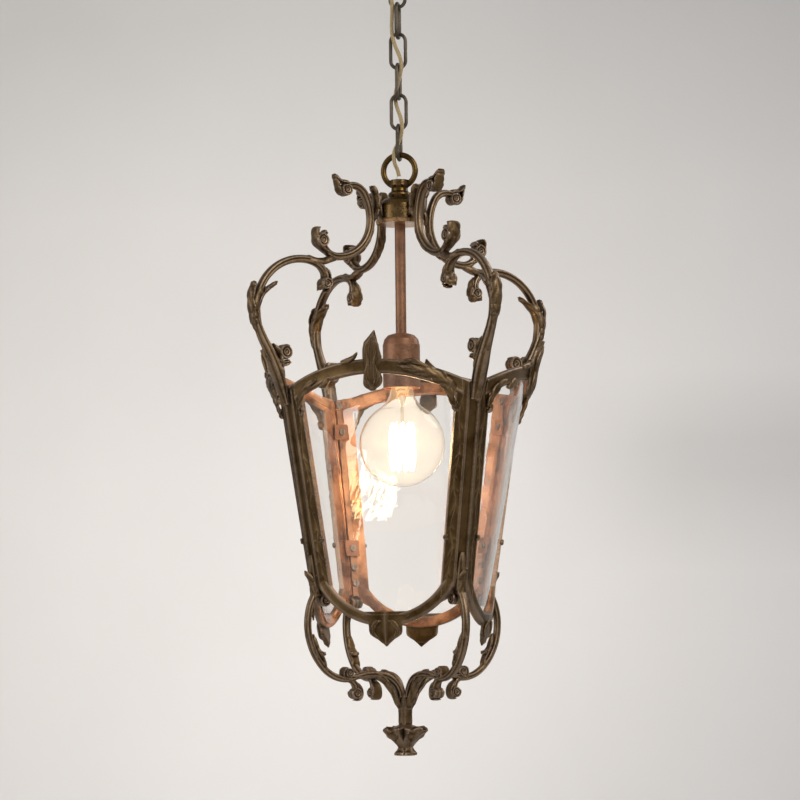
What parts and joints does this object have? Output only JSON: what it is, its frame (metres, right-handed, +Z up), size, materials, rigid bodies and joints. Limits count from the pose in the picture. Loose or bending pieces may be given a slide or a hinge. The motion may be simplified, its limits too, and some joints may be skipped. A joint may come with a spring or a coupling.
{
  "type": "hanging lantern",
  "caption": "Hanging lantern on a link chain: scrolled cast crown, bulged glazed body with corner posts, lower scrolls, leaf finial and a globe bulb.",
  "frame": {"origin": "centre of the ceiling rose on the ceiling, between the bracket's two screw holes", "axes": "+Z up into the ceiling; the front side and the face of the hanging ring look along -Y; +X to the right"},
  "size_m": [0.3206, 0.3206, 0.9243],
  "materials": {
    "cast_bronze": "dark antique cast, waxed, worn on the high edges",
    "dark_bronze": "dark grey-brown lacquered wire",
    "copper_bronze": "brown patinated sheet and tube",
    "aged_brass": "tarnished brass",
    "plated_steel": "dulled plating",
    "clear_glass": "clear, slightly wavy",
    "bulb_glass": "clear blown glass",
    "cap_metal": "rolled thread",
    "filament_wire": "glowing",
    "holder_ceramic": "moulded",
    "white_plastic": "moulded",
    "clear_sleeve": "clear flexible sleeve",
    "woven_flex": "woven gold-coloured cover"
  },
  "bodies": {
    "ceiling": {"ceiling_rose": "dark_bronze", "ceiling_bracket": "plated_steel", "rose_loop": "dark_bronze", "rose_bush": "white_plastic", "terminal_block": "white_plastic", "terminal_barrels": "aged_brass", "supply_flex": "woven_flex"},
    "link_1": {"chain_link_1": "dark_bronze"},
    "link_2": {"chain_link_2": "dark_bronze"},
    "link_3": {"chain_link_3": "dark_bronze"},
    "link_4": {"chain_link_4": "dark_bronze"},
    "link_5": {"chain_link_5": "dark_bronze"},
    "link_6": {"chain_link_6": "dark_bronze"},
    "lantern": {"hanging_ring": "cast_bronze", "neck_bush": "clear_sleeve", "hub_drum": "cast_bronze", "hub_flange": "aged_brass", "hub_nut": "plated_steel", "hub_screws": "plated_steel", "stem_tube": "copper_bronze", "stem_nut": "plated_steel", "inner_flex": "woven_flex", "holder_cover": "copper_bronze", "holder_body": "holder_ceramic", "holder_shell": "aged_brass", "holder_contact": "aged_brass", "corner_post_front_left": "cast_bronze", "corner_post_front_right": "cast_bronze", "corner_post_back_right": "cast_bronze", "corner_post_back_left": "cast_bronze", "crown_arm_front_left": "cast_bronze", "crown_arm_front_right": "cast_bronze", "crown_arm_back_right": "cast_bronze", "crown_arm_back_left": "cast_bronze", "lower_arm_front_left": "cast_bronze", "lower_arm_front_right": "cast_bronze", "lower_arm_back_right": "cast_bronze", "lower_arm_back_left": "cast_bronze", "top_rail_front": "cast_bronze", "top_rail_right": "cast_bronze", "top_rail_back": "cast_bronze", "top_rail_left": "cast_bronze", "bottom_rail_front": "cast_bronze", "bottom_rail_right": "cast_bronze", "bottom_rail_back": "cast_bronze", "bottom_rail_left": "cast_bronze", "glass_pane_front": "clear_glass", "glass_pane_right": "clear_glass", "glass_pane_back": "clear_glass", "glass_pane_left": "clear_glass", "glass_clips": "copper_bronze", "clip_screws": "plated_steel", "arm_screws": "plated_steel", "bottom_boss": "cast_bronze", "finial": "cast_bronze"},
    "bulb": {"bulb_cap": "cap_metal", "bulb_globe": "bulb_glass", "bulb_mount": "bulb_glass", "bulb_filament": "filament_wire"}
  },
  "joints": [
    {"name": "link_1_swing", "type": "hinge", "parent": "ceiling", "child": "link_1", "pos_m": [0, 0, -0.05], "axis": [0, 1, 0], "range_deg": [-15, 15], "deforming": ["supply_flex"]},
    {"name": "link_2_swing", "type": "hinge", "parent": "link_1", "child": "link_2", "pos_m": [0, 0, -0.08445], "axis": [1, 0, 0], "range_deg": [-15, 15], "deforming": ["supply_flex"]},
    {"name": "link_3_swing", "type": "hinge", "parent": "link_2", "child": "link_3", "pos_m": [0, 0, -0.11915], "axis": [0, 1, 0], "range_deg": [-15, 15], "deforming": ["supply_flex"]},
    {"name": "link_4_swing", "type": "hinge", "parent": "link_3", "child": "link_4", "pos_m": [0, 0, -0.15385], "axis": [1, 0, 0], "range_deg": [-15, 15], "deforming": ["supply_flex"]},
    {"name": "link_5_swing", "type": "hinge", "parent": "link_4", "child": "link_5", "pos_m": [0, 0, -0.18855], "axis": [0, 1, 0], "range_deg": [-15, 15], "deforming": ["supply_flex"]},
    {"name": "link_6_swing", "type": "hinge", "parent": "link_5", "child": "link_6", "pos_m": [0, 0, -0.22325], "axis": [1, 0, 0], "range_deg": [-15, 15], "deforming": ["supply_flex"]},
    {"name": "lantern_swing", "type": "hinge", "parent": "link_6", "child": "lantern", "pos_m": [0, 0, -0.25795], "axis": [0, 1, 0], "range_deg": [-15, 15], "deforming": ["supply_flex"]},
    {"name": "bulb_unscrew", "type": "slide", "parent": "lantern", "child": "bulb", "axis": [0, 0, -1], "range_m": [0, 0.03]}
  ]
}
